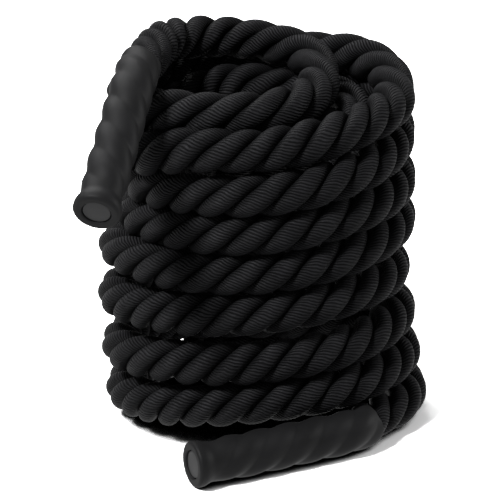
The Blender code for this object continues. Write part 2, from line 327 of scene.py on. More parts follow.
@dataclass(frozen=True)
class Settling:
    """Where the soft rope lies a few millimetres off its route, and where it is fuller there.

    Each row holds a distance from the top free end in metres, a move to the right, back and up in
    millimetres, and how much fuller the rope is in hundredths. Between rows they ease over.
    """

    rows: tuple[tuple[float, float, float, float, float], ...] = (
        (0.00, 3.2, 0, -2.4, 0), (0.20, 3.4, 0, 0, 0), (0.25, 1.4, 0, 1, 0), (0.28, 5.6, 0, 0.6, 0),
        (0.33, 7.4, 0, 1, 4), (0.37, 4, 0, 2.4, 6), (0.41, 1, 0, 1.6, 4), (0.49, 0, 0, 2, 0),
        (0.60, 0, 0, 1.4, 0), (0.66, 0, 0, 0, 0), (0.73, 0, 0, -0.8, 4), (0.80, 0, 0, 0, 0),
        (0.88, 0, 0, 0, 6), (0.93, 0, 0, 1, 7), (0.99, -3.5, 0, -3.5, 0), (1.05, 4.5, 0, 0, 0),
        (1.11, 0, 0, -1.5, 7), (1.22, 0, 0, 0.6, 0), (1.32, 0, 0, 1.6, 0), (1.38, 0, 0, 1.8, 5),
        (1.44, -1.4, 0, 0, 0), (1.48, -3.4, 0, 0, 0), (1.54, 2.2, 0, -1, 2), (1.60, 0, 0, 0, 0),
        (1.67, 0, 0, 0.6, 4), (1.75, 0, 0, 0, 0), (1.83, 0, 0, 0.8, 6), (1.95, 0, 0, 0, 0),
        (2.08, 0, 0, -1.5, 7), (2.20, 0, 0, 0, 0), (2.44, 0, 0, 0.8, 7), (2.56, 0, 0, 0, 0),
        (2.85, 0, 0, 3.5, 0), (2.94, 0, 0, 7.5, 4), (3.05, 1.8, 0, 1, 2), (3.12, 0, 0, -2.2, 2),
        (3.24, 0, 0, 0, 0), (3.40, 0, 0, 0, 0), (3.52, -7, 0, -3, 4), (3.66, 0, 0, 0, 0),
        (3.90, 0, 0, 0, 0), (4.00, 0, 0, 2, 3), (4.07, 1, 0, -2.4, 3), (4.18, 0, 0, 0, 0),
        (4.36, 0, 0, 0, 0), (4.49, -5.5, 0, 0, 5), (4.62, 0, 0, 0, 0), (4.83, 0, 0, 0, 0),
        (4.93, 1, 0, 2.6, 3), (5.02, 0.5, 0, 0, 0), (5.20, 0, 0, 0, 0), (5.34, 0, 0, 0, 0),
        (5.44, -3.8, 0, 1, 0), (5.60, 0, 0, 0, 0), (5.85, 0, 0, 0, 0), (5.95, 2.4, 0, -2.4, 3),
        (6.05, 0, 0, 0, 0), (6.18, 0, 0, 0, 0), (6.25, 0, 0, -0.8, 5), (6.36, -2.6, 0, -3, 2),
        (6.42, -2, 0, -1, 2), (6.52, 0, 0, 0, 0), (6.76, 0, 0, 0, 0), (6.87, 2.8, 0, 2.2, 3),
        (7.00, 0, 0, 0, 0), (7.14, 0, 0, 0, 0), (7.23, -0.5, 0, 0.8, 5), (7.34, -3.6, 0, -3.4, 3),
        (7.42, -2.2, 0, -1.8, 0), (7.51, 0, 0, 0, 5), (7.62, 0, 0, 0, 0), (7.76, 0, 0, 0, 0),
        (7.88, 3.4, 0, 0, 2), (8.00, 0, 0, 0, 0), (8.26, 0, 0, 0, 0), (8.37, -3.4, 0, 0, 2),
        (8.50, 0, 0, 0, 0), (8.74, 0, 0, 0, 0), (8.83, 3, 0, 0, 2), (8.92, 2.5, -6, 0, 3),
        (8.98, 0, 3, 0, 0), (9.22, 3.6, -6, 0, 0),
    )

    def read(self, distances: Array) -> tuple[Array, Array]:
        """Read the moves and the fuller size.

        Args:
            distances: Distances from the top free end.

        Returns:
            Moves in metres, and shares to add to the size.
        """
        values = read_eased(self.rows, distances)
        return values[:, :3] / MILLIMETRES_IN_A_METRE, values[:, 3] / HUNDREDTHS_IN_ONE


class RopeLine:
    """The rope's middle as a line that can be read at any distance, with two side directions."""

    def __init__(self, route: RopeRoute, settling: Settling = Settling()) -> None:
        """Work out the line and its directions.

        Args:
            route: The route to follow.
            settling: Where the rope lies a little off it.
        """
        self.route = route
        self.settling = settling
        points = route.line()
        self.points = points + settling.read(lengths_along(points))[0]
        self.run = lengths_along(self.points)
        self.tangents = unit(np.gradient(self.points, axis=0))
        self.sides = unit(np.cross(self.tangents, UP))

    @property
    def length(self) -> float:
        """Length from one free end to the other."""
        return float(self.run[-1])

    def frames(self, distances: Array) -> tuple[Array, Array, Array]:
        """Read places and directions.

        Args:
            distances: Distances from the top free end.

        Returns:
            The places, the level side direction and the direction square to it and to the line.
        """
        at = np.interp(distances, self.run, np.arange(len(self.run)))
        tangents = unit(read_rows(self.tangents, at))
        sides = read_rows(self.sides, at)
        sides = unit(sides - tangents * np.sum(sides * tangents, axis=1, keepdims=True))
        return read_rows(self.points, at), sides, np.cross(tangents, sides)

    def tube(self, distances: Array, angles: Array, radii: Array) -> Array:
        """Place rings square to the line.

        Args:
            distances: One distance a ring.
            angles: Angles round the line, one row a ring or one row for all.
            radii: Radii, likewise.

        Returns:
            Points, indexed by ring and by place round it.
        """
        places, sides, others = self.frames(distances)
        across = (radii * np.cos(angles))[..., None] * sides[:, None]
        upward = (radii * np.sin(angles))[..., None] * others[:, None]
        return places[:, None] + across + upward


@dataclass(frozen=True)
class Lay:
    """How the strands turn round the rope: left-handed, about one turn a lay length.

    The lay of a rope that lies coiled isn't even. Each row stands where the twist changes, and holds
    a distance from the top free end in metres and how far the strands are turned ahead of the even
    lay, in shares of one strand's pitch. Between rows it eases over.
    """

    length: float = 0.1148
    strands: int = 3
    ahead: tuple[tuple[float, float], ...] = (
        (0.00, -0.45), (0.26, -0.40), (0.32, -0.05), (0.42, -0.50), (0.50, -0.70), (0.57, -0.60),
        (0.66, 0.00), (0.86, 0.30), (0.98, 0.35), (1.16, 0.70), (1.22, 0.65), (1.28, 0.45),
        (1.40, 0.80), (1.52, 1.35), (1.62, 1.10), (1.84, 0.80), (1.98, 0.95), (2.08, 0.90),
        (2.18, 0.50), (2.32, 0.30), (2.46, 0.65), (2.70, 0.80), (3.04, 0.70), (3.22, 0.45),
        (3.42, 0.50), (3.54, 0.80), (3.76, 0.75), (4.00, 0.55), (4.16, 0.30), (4.34, 0.30),
        (4.50, 0.60), (4.96, 1.15), (5.28, 1.15), (5.36, 1.00), (5.54, 1.20), (5.76, 1.10),
        (6.00, 0.75), (6.18, 0.75), (6.40, 0.20), (6.56, 0.50), (6.88, 1.00), (7.08, 0.75),
        (7.28, 0.25), (7.44, 0.50), (7.86, 0.55), (8.02, 0.20), (8.18, 0.10), (8.38, -0.40),
        (8.78, -0.45), (8.90, -0.60), (9.30, -0.50),
    )

    def angle(self, distances: Array) -> Array:
        """Angle of the first strand at each distance from the top free end."""
        ahead = read_eased(self.ahead, distances)[:, 0]
        return 2 * math.pi * (ahead / self.strands - distances / self.length)


def wave_noise(
    places: Array, wavelength: float, seed: int, count: int = 24, spread: tuple[float, float] = (0.6, 1.8)
) -> Array:
    """Add up sine waves of unlike length and phase, for slow unevenness along a line.

    Args:
        places: Where to read it.
        wavelength: The usual wavelength.
        seed: Seed of the draw of lengths and phases.
        count: How many waves.
        spread: The shortest and the longest wave, in usual wavelengths.

    Returns:
        Values that mostly lie between -1 and 1.
    """
    draw = np.random.default_rng(seed)
    lengths = wavelength * draw.uniform(*spread, count)
    phases = draw.uniform(0.0, 2 * math.pi, count)
    waves = np.sin(2 * math.pi * places[:, None] / lengths + phases)
    return waves.sum(axis=1) / math.sqrt(count)


def grid_faces(rows: int, columns: int, closed_rows: bool) -> Array:
    """Quads of a grid whose columns close into rings.

    Args:
        rows: Number of rings.
        columns: Points of one ring.
        closed_rows: Whether the last ring joins the first.

    Returns:
        Four point numbers for each face.
    """
    last = rows if closed_rows else rows - 1
    row, column = np.meshgrid(np.arange(last), np.arange(columns), indexing="ij")
    row, column = row.ravel(), column.ravel()
    following, beside = (row + 1) % rows, (column + 1) % columns
    corners = (row * columns + column, row * columns + beside,
               following * columns + beside, following * columns + column)
    return np.stack(corners, axis=-1)


def outward_mesh(name: str, points: Array, faces: Array, fans: list[Array]) -> bpy.types.Mesh:
    """Put a closed surface into a mesh with its faces pointing outwards.

    Each quad's centre times its area vector, summed up, is negative where the faces point inwards.

    Args:
        name: The mesh's name.
        points: Points, one row each.
        faces: Quads.
        fans: Rings of point numbers that are closed by one flat face each.

    Returns:
        The mesh, shaded smooth.
    """
    quads = points[faces]
    area = np.cross(quads[:, 2] - quads[:, 0], quads[:, 3] - quads[:, 1])
    flip = np.sum(area * quads.mean(axis=1)) < 0
    outward = faces[:, ::-1] if flip else faces
    ends = [ring[::-1] if flip else ring for ring in fans]
    corners = np.concatenate([outward.ravel(), *ends]).astype(np.int32)
    sizes = np.concatenate([np.full(len(faces), 4), [len(ring) for ring in ends]]).astype(np.int32)
    mesh = bpy.data.meshes.new(name)
    mesh.vertices.add(len(points))
    mesh.vertices.foreach_set("co", np.ascontiguousarray(points, np.float32).ravel())
    mesh.loops.add(len(corners))
    mesh.loops.foreach_set("vertex_index", corners)
    mesh.polygons.add(len(sizes))
    starts = np.concatenate([[0], np.cumsum(sizes)[:-1]]).astype(np.int32)
    mesh.polygons.foreach_set("loop_start", starts)
    mesh.polygons.foreach_set("loop_total", sizes)
    mesh.polygons.foreach_set("use_smooth", np.ones(len(sizes), bool))
    mesh.update(calc_edges=True)
    mesh.validate()
    return mesh


def add_piece(name: str, mesh: bpy.types.Mesh, material: bpy.types.Material) -> bpy.types.Object:
    """Put a mesh into the scene as a piece of the rope.

    Args:
        name: The piece's name.
        mesh: Its mesh, in place.
        material: Its finish.

    Returns:
        The new object.
    """
    mesh.materials.append(material)
    piece = bpy.data.objects.new(name, mesh)
    bpy.context.scene.collection.objects.link(piece)
    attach(piece, BODY)
    triangles = sum(len(face.vertices) - 2 for face in mesh.polygons)
    log.info("%s: %d triangles", name, triangles)
    return piece


class Signal:
    """A number in a shader. Sums and products of signals become Math nodes."""

    def __init__(self, sheet: "ShaderSheet", socket: bpy.types.NodeSocket) -> None:
        """Hold an output socket of a sheet."""
        self.sheet = sheet
        self.socket = socket

    def __add__(self, other: "Signal | float") -> "Signal":
        """This plus other."""
        return self.sheet.math("ADD", self, other)

    def __radd__(self, other: float) -> "Signal":
        """Other plus this."""
        return self.sheet.math("ADD", other, self)

    def __sub__(self, other: "Signal | float") -> "Signal":
        """This minus other."""
        return self.sheet.math("SUBTRACT", self, other)

    def __rsub__(self, other: float) -> "Signal":
        """Other minus this."""
        return self.sheet.math("SUBTRACT", other, self)

    def __mul__(self, other: "Signal | float") -> "Signal":
        """This times other."""
        return self.sheet.math("MULTIPLY", self, other)

    def __pow__(self, other: float) -> "Signal":
        """This to the power of other."""
        return self.sheet.math("POWER", self, other)

    def __abs__(self) -> "Signal":
        """This without its sign."""
        return self.sheet.math("ABSOLUTE", self)

    def sine(self) -> "Signal":
        """Sine of this, in radians."""
        return self.sheet.math("SINE", self)

    def larger(self, other: "Signal | float") -> "Signal":
        """The larger of this and other."""
        return self.sheet.math("MAXIMUM", self, other)

    def levelled(self, gain: float, level: float) -> "Signal":
        """This times a gain, plus a level."""
        return self * gain + level


class ShaderSheet:
    """A material or a world under construction."""

    def __init__(self, owner: bpy.types.Material | bpy.types.World) -> None:
        """Start with no nodes.

        Args:
            owner: The new material or world.
        """
        self.owner = owner
        self.owner.use_nodes = True
        self.tree = self.owner.node_tree
        self.tree.nodes.clear()

    def node(self, kind: str, settings: dict[str, Any], inputs: dict[str | int, Any]) -> bpy.types.Node:
        """Add a node.

        Args:
            kind: The node's type.
            settings: Its settings, set first.
            inputs: A value, signal or socket for each input, by name or number.

        Returns:
            The node.
        """
        node = self.tree.nodes.new(kind)
        for key, value in settings.items():
            setattr(node, key, value)
        for key, value in inputs.items():
            if isinstance(value, Signal):
                value = value.socket
            if isinstance(value, bpy.types.NodeSocket):
                self.tree.links.new(value, node.inputs[key])
            else:
                node.inputs[key].default_value = value
        return node

    def math(self, operation: str, *values: Signal | float) -> Signal:
        """Add a Math node.

        Args:
            operation: What it does.
            *values: Its one or two inputs.

        Returns:
            Its result.
        """
        node = self.node("ShaderNodeMath", {"operation": operation}, dict(enumerate(values)))
        return Signal(self, node.outputs[0])

    def mix_colour(self, factor: Signal | float, first: Any, second: Any) -> bpy.types.NodeSocket:
        """Mix two colours.

        Args:
            factor: Share of the second.
            first: Colour or socket.
            second: Colour or socket.

        Returns:
            The mixed colour's socket.
        """
        colours = [(*value, 1.0) if isinstance(value, tuple) else value for value in (first, second)]
        inputs = {0: factor, **dict(zip(MIX_COLOUR_INPUTS, colours))}
        return self.node("ShaderNodeMix", {"data_type": "RGBA"}, inputs).outputs[MIX_COLOUR_OUTPUT]

    def object_place(self) -> bpy.types.NodeSocket:
        """Place on the object, in metres."""
        return self.node("ShaderNodeTexCoord", {}, {}).outputs["Object"]

    def noise(
        self, vector: bpy.types.NodeSocket, scale: float, detail: float = 3.0, roughness: float = 0.5
    ) -> Signal:
        """Read cloud-like noise.

        Args:
            vector: Where to read it.
            scale: Clouds per unit.
            detail: How many finer layers.
            roughness: How strong those are.

        Returns:
            Values round one half.
        """
        inputs = {"Vector": vector, "Scale": scale, "Detail": detail, "Roughness": roughness}
        return Signal(self, self.node("ShaderNodeTexNoise", {}, inputs).outputs[0])

    def finish(self, surface: bpy.types.NodeSocket) -> bpy.types.Material | bpy.types.World:
        """Send a shader to the owner's surface.

        Args:
            surface: The shader's socket.

        Returns:
            The material or world.
        """
        kind = "World" if isinstance(self.owner, bpy.types.World) else "Material"
        self.node(f"ShaderNodeOutput{kind}", {}, {"Surface": surface})
        return self.owner


@dataclass(frozen=True)
class YarnFinish:
    """Black polyester yarn, twisted into ribs that wind round each strand."""

    name: str = "rope_yarn"
    uv_map: str = "lay"
    ribs_round: int = 21
    ribs_per_metre: float = -446.0
    # Painted shade in the valleys between the yarn ribs and painted sheen on their crests.
    valley_shade_colour: Colour = (0.0005, 0.0005, 0.0006)
    crest_sheen_colour: Colour = (0.0400, 0.0400, 0.0430)
    roughness: float = 0.50
    specular: float = 0.06
    rib_height: float = 0.0011
    fibres_per_rib: float = 3.0
    fibre_share: float = 0.22
    wander_per_metre: float = 70.0
    wander: float = 1.1
    fibres_per_metre: float = 120.0
    clouds_per_metre: float = 38.0
    rib_power: float = 2.0
    rib_levels: tuple[float, float] = (0.80, 0.22)
    fibre_levels: tuple[float, float] = (1.1, 0.25)
    cloud_levels: tuple[float, float] = (0.9, 0.45)
    # These two set a painted shade: the yarn is lightest on the strand's outer face and darkens into the
    # grooves between strands.
    outside_level: float = 1.12
    groove_painted_shade: float = 2.4
    roughness_change: float = 0.25

    def build(self) -> bpy.types.Material:
        """Make the material.

        A rib is the absolute sine of a phase that grows round the strand and along the rope. The colour is
        painted lighter on the rib crests, a painted sheen, and darker in the valleys between them, painted
        shade. Fibres are noise drawn out along the ribs. The side of the strand that faces out of the rope
        is half way round, and the colour darkens from there into the grooves, as painted shade.

        Returns:
            The material.
        """
        sheet = ShaderSheet(bpy.data.materials.new(self.name))
        lay_map = sheet.node("ShaderNodeUVMap", {"uv_map": self.uv_map}, {}).outputs[0]
        parts = sheet.node("ShaderNodeSeparateXYZ", {}, {0: lay_map})
        along, around = Signal(sheet, parts.outputs[0]), Signal(sheet, parts.outputs[1])
        wander = sheet.noise(sheet.object_place(), self.wander_per_metre, detail=2.0) * self.wander
        phase = around * self.ribs_round + along * self.ribs_per_metre + wander
        rib = abs((phase * math.pi).sine())
        # Painted shade: the colour darkens from the strand's outer face into the grooves.
        outside = self.outside_level - abs(around - 0.5) * self.groove_painted_shade
        across_fibres = phase * self.fibres_per_rib
        along_fibres = along * self.fibres_per_metre
        place = sheet.node("ShaderNodeCombineXYZ", {}, {0: across_fibres, 1: along_fibres}).outputs[0]
        fibres = sheet.noise(place, 1.0, detail=4.0, roughness=0.6)
        clouds = sheet.noise(sheet.object_place(), self.clouds_per_metre, detail=2.0)
        height = rib + fibres * self.fibre_share
        # Rib tone: painted sheen on the rib crests and painted shade in the valleys, times the fibres' own
        # texture.
        fibres_and_rib_sheen = (rib ** self.rib_power).levelled(*self.rib_levels) * fibres.levelled(*self.fibre_levels)
        tone = fibres_and_rib_sheen * clouds.levelled(*self.cloud_levels) * outside
        colour = sheet.mix_colour(tone, self.valley_shade_colour, self.crest_sheen_colour)
        inputs = {"Strength": 1.0, "Distance": self.rib_height, "Height": height}
        bump = sheet.node("ShaderNodeBump", {}, inputs)
        shader = sheet.node("ShaderNodeBsdfPrincipled", {}, {
            "Base Color": colour,
            "Roughness": self.roughness + (0.5 - fibres) * self.roughness_change,
            "Specular IOR Level": self.specular,
            "Normal": bump.outputs[0],
        })
        return sheet.finish(shader.outputs[0])


@dataclass(frozen=True)
class RubberFinish:
    """Satin rubber with faint clouding, shallow waves and fine grain."""

    name: str
    dark_colour: Colour
    light_colour: Colour
    roughness: float = 0.50
    specular: float = 0.45
    grain_per_metre: float = 900.0
    grain_height: float = 0.00008
    waves_per_metre: float = 42.0
    wave_height: float = 0.0010
    clouds_per_metre: float = 24.0
    cloud_levels: tuple[float, float] = (1.6, -0.3)
    roughness_change: float = 0.25

    def build(self) -> bpy.types.Material:
        """Make the material: clouds in the colour and the gloss, waves and grain in the surface.

        Returns:
            The material.
        """
        sheet = ShaderSheet(bpy.data.materials.new(self.name))
        place = sheet.object_place()
        clouds = sheet.noise(place, self.clouds_per_metre, detail=4.0)
        grain = sheet.noise(place, self.grain_per_metre, detail=2.0)
        waves = sheet.noise(place, self.waves_per_metre, detail=1.0)
        share = clouds.levelled(*self.cloud_levels)
        colour = sheet.mix_colour(share, self.dark_colour, self.light_colour)
        wavy = sheet.node("ShaderNodeBump", {}, {"Distance": self.wave_height, "Height": waves})
        inputs = {"Distance": self.grain_height, "Height": grain, "Normal": wavy.outputs[0]}
        bump = sheet.node("ShaderNodeBump", {}, inputs)
        shader = sheet.node("ShaderNodeBsdfPrincipled", {}, {
            "Base Color": colour,
            "Roughness": self.roughness + (clouds - 0.5) * self.roughness_change,
            "Specular IOR Level": self.specular,
            "Normal": bump.outputs[0],
        })
        return sheet.finish(shader.outputs[0])


SLEEVE_RUBBER = RubberFinish(
    "shrunk_rubber",
    dark_colour=(0.0105, 0.0105, 0.0110),
    light_colour=(0.0160, 0.0160, 0.0170),
    roughness=0.58,
    specular=0.20,
)
CAP_RUBBER = RubberFinish(
    "cap_rubber",
    dark_colour=(0.019, 0.019, 0.020),
    light_colour=(0.026, 0.026, 0.0275),
)
WHIPPING_TAPE = RubberFinish(
    "whipping_tape",
    dark_colour=(0.012, 0.012, 0.012),
    light_colour=(0.018, 0.018, 0.018),
    roughness=0.70,
)


@dataclass
class LaidRope:
    """The rope itself: three yarn strands that run from cap to cap."""

    line: RopeLine
    lay: Lay
    finish: YarnFinish = YarnFinish()
    centre_radius: float = 0.0132
    strand_radius: float = 0.0118
    end_setback: float = 0.0086
    grip_draw_in: float = 0.93
    whipped_draw_in: float = 0.78
    whipped_length: float = 0.034
    whipped_easing: float = 0.017
    mouth_easing: float = 0.030
    ring_step: float = 0.0042
    ring_points: int = 22
    path_step: float = 0.003
    uneven_share: float = 0.012
    uneven_wavelength: float = 0.09
    declared_length: float = 9.14

    def draw_in(self, distances: Array) -> Array:
        """Work out how far the rope is drawn in: in the grips, and most under the whippings.

        Args:
            distances: Distances from the top free end.

        Returns:
            Shares of the rope's free size, with eased steps between, more where it settles fuller.
        """
        from_end = np.minimum(distances, self.line.length - distances)
        grip = self.line.route.grip_length
        gripped = 1 - eased((from_end - grip) / self.mouth_easing)
        whipped = 1 - eased((from_end - self.whipped_length) / self.whipped_easing)
        fuller = self.line.settling.read(distances)[1] * (1 - gripped)
        by_sleeve = (1 - self.grip_draw_in) * gripped
        by_whipping = (self.grip_draw_in - self.whipped_draw_in) * whipped
        return 1 - by_sleeve - by_whipping + fuller

    def strand_mesh(self, number: int) -> bpy.types.Mesh:
        """Sweep one strand: an ellipse in each ring's plane, turned round the rope with the lay.

        Args:
            number: Which strand, from 0.

        Returns:
            The mesh with a map of distance along the rope and share of the way round the strand.
        """
        start, end = self.end_setback, self.line.length - self.end_setback
        rings = round((end - start) / self.ring_step) + 1
        distances = np.linspace(start, end, rings)
        size = self.draw_in(distances)[:, None]
        slope = math.atan(2 * math.pi * self.centre_radius / self.lay.length)
        noise = wave_noise(distances, self.uneven_wavelength, seed=number)
        uneven = 1 + self.uneven_share * noise[:, None]
        shares = np.arange(self.ring_points) / self.ring_points
        round_angle = 2 * math.pi * shares + math.pi
        along = size * (self.centre_radius + self.strand_radius * uneven * np.cos(round_angle))
        wide = self.strand_radius / math.cos(slope)
        across = size * wide * uneven * np.sin(round_angle)
        turned = self.lay.angle(distances)[:, None] + number * 2 * math.pi / self.lay.strands
        angles = np.arctan2(across, along) + turned
        points = self.line.tube(distances, angles, np.hypot(along, across))
        faces = grid_faces(rings, self.ring_points, closed_rows=False)
        first = np.arange(self.ring_points)[::-1]
        last = (rings - 1) * self.ring_points + np.arange(self.ring_points)
        mesh = outward_mesh(f"rope_strand_{number + 1}", points.reshape(-1, 3), faces, [first, last])
        self._map_lay(mesh, distances)
        return mesh

    def _map_lay(self, mesh: bpy.types.Mesh, distances: Array) -> None:
        """Give the mesh its map: distance in metres, and share of the way round, unbroken at the seam.

        Args:
            mesh: The strand's mesh, ring by ring.
            distances: Each ring's distance from the top free end.
        """
        corners = np.empty(len(mesh.loops), np.int32)
        mesh.loops.foreach_get("vertex_index", corners)
        totals = np.empty(len(mesh.polygons), np.int32)
        mesh.polygons.foreach_get("loop_total", totals)
        column = corners % self.ring_points
        face = np.repeat(np.arange(len(totals)), totals)
        highest = np.zeros(len(totals), np.int32)
        np.maximum.at(highest, face, column)
        wraps = (column == 0) & (highest[face] == self.ring_points - 1) & (totals[face] == 4)
        around = (column + wraps * self.ring_points) / self.ring_points
        values = np.stack([distances[corners // self.ring_points], around], axis=-1)
        layer = mesh.uv_layers.new(name=self.finish.uv_map)
        layer.data.foreach_set("uv", np.ascontiguousarray(values, np.float32).ravel())

    def build(self, on_the_ends: list[bpy.types.Object]) -> list[bpy.types.Object]:
        """Args:
            on_the_ends: The grips' pieces. Not used.

        Returns:
            The strands.
        """
        material = self.finish.build()
        strands = []
        for number in range(self.lay.strands):
            mesh = self.strand_mesh(number)
            strand = add_piece(mesh.name, mesh, material)
            ends = [f"strand_end_{end.value}_{number + 1}" for end in End]
            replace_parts(strand, "rope_coil", *ends)
            strands.append(strand)
        last = self.line.length - self.end_setback
        places = np.arange(self.end_setback, last, self.path_step)
        path = self.line.frames(places)[0]
        return strands


@dataclass
class Grip:
    """One dressed end: the shrunk sleeve with its rolled rim, the cap and the whipping in it.

    The neck's beginning and the lobes' fading are in neck places from the end.
    """

    end: End
    line: RopeLine
    lay: Lay
    sleeve_finish: RubberFinish = SLEEVE_RUBBER
    cap_finish: RubberFinish = CAP_RUBBER
    tape_finish: RubberFinish = WHIPPING_TAPE
    wall: float = 0.0022
    crest_radius: float = 0.0257
    valley_radius: float = 0.0229
    crest_sharpness: float = 0.65
    mouth_round: float = 0.0011
    neck_place: float = 0.021
    neck_begins: float = 2.4
    neck_radius: float = 0.0233
    lobes_fade: tuple[float, float] = (2.2, 0.6)
    rim_width: float = 0.0072
    rim_radius: float = 0.0269
    rim_round: float = 0.0042
    lip_round: float = 0.0020
    lip_depth: float = 0.0050
    opening_radius: float = 0.0164
    cap_radius: float = 0.0157
    cap_recess: float = 0.0014
    cap_dome: float = 0.0006
    cap_edge: float = 0.0009
    cap_centre: float = 0.0006
    cap_thickness: float = 0.0020
    tape_start: float = 0.0121
    tape_width: float = 0.014
    tape_thickness: float = 0.0008
    tape_gap: float = 0.0003
    ring_points: int = 96
    ring_step: float = 0.0016
    bore_step: float = 0.0032
    turn_rings: int = 7
    face_rings: int = 6
    cap_edge_rings: int = 6
    cap_face_rings: int = 10

    @property
    def length(self) -> float:
        """Length of the sleeve."""
        return self.line.route.grip_length - MOUTH_TRIM[self.end]

    @property
    def angles(self) -> Array:
        """Angles of one ring's points."""
        return np.arange(self.ring_points) * 2 * math.pi / self.ring_points

    def from_top(self, from_mouth: Array) -> Array:
        """Turn distances from the sleeve's mouth into distances along the whole rope.

        Args:
            from_mouth: Distances from the mouth towards the end.

        Returns:
            Distances from the top free end.
        """
        if self.end is End.TOP:
            return self.length - from_mouth
        return self.line.length - self.length + from_mouth

    def outer_profile(self) -> tuple[Array, Array, Array]:
        """Work out the outside, from the mouth's inner edge round to the lip's inner edge.

        The body is straight. Near its end it narrows to a neck, swells to the rim by smooth steps and
        turns over to the lip on two quarter circles, while the lobes fade out.

        Returns:
            Distances from the mouth, base radii and the share of the lobes that is left.
        """
        turn = np.linspace(0.0, math.pi / 2, self.turn_rings)
        mouth_at = self.mouth_round * (1 - np.cos(turn))
        mouth_radius = self.crest_radius - self.mouth_round * (1 - np.sin(turn))
        body_start = self.mouth_round + self.ring_step
        body = np.arange(body_start, self.length - self.rim_round, self.ring_step)
        to_end = self.length - body
        neck_start = self.neck_begins * self.neck_place
        necked = eased((neck_start - to_end) / (neck_start - self.neck_place))
        swollen = eased((self.neck_place - to_end) / (self.neck_place - self.rim_width))
        body_radius = self.crest_radius + (self.neck_radius - self.crest_radius) * necked
        body_radius = body_radius + (self.rim_radius - body_radius) * swollen
        fade_start, fade_end = (places * self.neck_place for places in self.lobes_fade)
        lobes = 1 - eased((fade_start - to_end) / (fade_start - fade_end))
        rim_at = self.length - self.rim_round * (1 - np.sin(turn))
        rim_radius = self.rim_radius - self.rim_round * (1 - np.cos(turn))
        face_end = self.opening_radius + self.lip_round
        face_radius = np.linspace(self.rim_radius - self.rim_round, face_end, self.face_rings)[1:-1]
        face_at = np.full(len(face_radius), self.length)
        lip_at = self.length - self.lip_round * (1 - np.cos(turn))
        lip_radius = face_end - self.lip_round * np.sin(turn)
        back_at = np.array([self.length - self.lip_depth])
        back_radius = np.array([self.opening_radius])
        at = np.concatenate([mouth_at, body, rim_at, face_at, lip_at, back_at])
        radii = [mouth_radius, body_radius, rim_radius, face_radius, lip_radius, back_radius]
        plain = np.zeros(len(at) - len(mouth_at) - len(body))
        return at, np.concatenate(radii), np.concatenate([np.ones(len(mouth_at)), lobes, plain])

    def inside(self, from_mouth: Array) -> tuple[Array, Array]:
        """Read the bore, one wall inside the body.

        Args:
            from_mouth: Distances of the rings.

        Returns:
            Base radii and shares of the lobes.
        """
        at, radius, share = self.outer_profile()
        between = (at > self.mouth_round) & (at < self.length - self.rim_round)
        body = between & (radius > self.neck_radius - self.wall)
        inner = np.interp(from_mouth, at[body], radius[body]) - self.wall
        return inner, np.interp(from_mouth, at[body], share[body])

    def lobed(self, from_mouth: Array, crest: Array, lobe_share: Array) -> tuple[Array, Array]:
        """Take the valleys between the strands out of round rings.

        Args:
            from_mouth: Distances of the rings.
            crest: Radii over the strands.
            lobe_share: How much of the valleys' depth each ring has.

        Returns:
            Angles and radii, one row a ring.
        """
        turned = self.lay.angle(self.from_top(from_mouth))[:, None]
        wave = 0.5 + 0.5 * np.cos(self.lay.strands * (self.angles - turned))
        crests = wave ** self.crest_sharpness
        depth = (self.crest_radius - self.valley_radius) * lobe_share
        return np.broadcast_to(self.angles, crests.shape), crest[:, None] - depth[:, None] * (1 - crests)

    def put_in(
        self, name: str, node: str, points: Array, finish: RubberFinish, fans: list[Array]
    ) -> bpy.types.Object:
        """Put rings into the scene as a piece in the place of one of the part's nodes.

        Args:
            name: The piece's name, without its end.
            node: The node's name, without its end.
            points: Points, indexed by ring and by place round it.
            finish: The piece's finish, which its slot is named for.
            fans: Rings of point numbers closed by a flat face. With none, the last ring joins the
                first.

        Returns:
            The piece.
        """
        faces = grid_faces(len(points), self.ring_points, closed_rows=not fans)
        mesh = outward_mesh(f"{name}_{self.end.value}", points.reshape(-1, 3), faces, fans)
        piece = add_piece(mesh.name, mesh, finish.build())
        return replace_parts(piece, f"{node}_{self.end.value}")

    def sleeve(self) -> bpy.types.Object:
        """Make the sleeve as one closed shell: outside, rim and lip, then back along the bore.

        Returns:
            The sleeve.
        """
        at, radius, share = self.outer_profile()
        lip_start = self.length - self.lip_depth
        bore_at = np.append(np.arange(lip_start, 0.0, -self.bore_step), 0.0)
        bore_radius, bore_share = self.inside(bore_at)
        at = np.concatenate([at, bore_at])
        radius = np.concatenate([radius, bore_radius])
        share = np.concatenate([share, bore_share])
        angles, radii = self.lobed(at, radius, share)
        points = self.line.tube(self.from_top(at), angles, radii)
        return self.put_in("shrunk_sleeve", "grip_sleeve", points, self.sleeve_finish, [])

    def cap(self) -> bpy.types.Object:
        """Make the cap: a slightly domed face with a rounded edge on a plain plug.

        Returns:
            The cap.
        """
        front = self.length - self.cap_recess
        turn = np.linspace(0.0, math.pi / 2, self.cap_edge_rings)
        inner = self.cap_radius - self.cap_edge
        face_radius = np.linspace(self.cap_centre, inner, self.cap_face_rings)[:-1]
        face_at = front - self.cap_dome * (face_radius / inner) ** 2
        edge_radius = inner + self.cap_edge * np.sin(turn)
        edge_at = front - self.cap_dome - self.cap_edge * (1 - np.cos(turn))
        back_at = np.array([front - self.cap_thickness - self.lip_depth])
        at = np.concatenate([face_at, edge_at, back_at])
        radius = np.concatenate([face_radius, edge_radius, [self.cap_radius]])
        rings = np.broadcast_to(self.angles, (len(at), self.ring_points))
        radii = np.broadcast_to(radius[:, None], rings.shape)
        points = self.line.tube(self.from_top(at), rings, radii)
        ring = np.arange(self.ring_points)
        ends = [ring[::-1], (len(at) - 1) * self.ring_points + ring]
        return self.put_in("cap_face", "end_cap", points, self.cap_finish, ends)

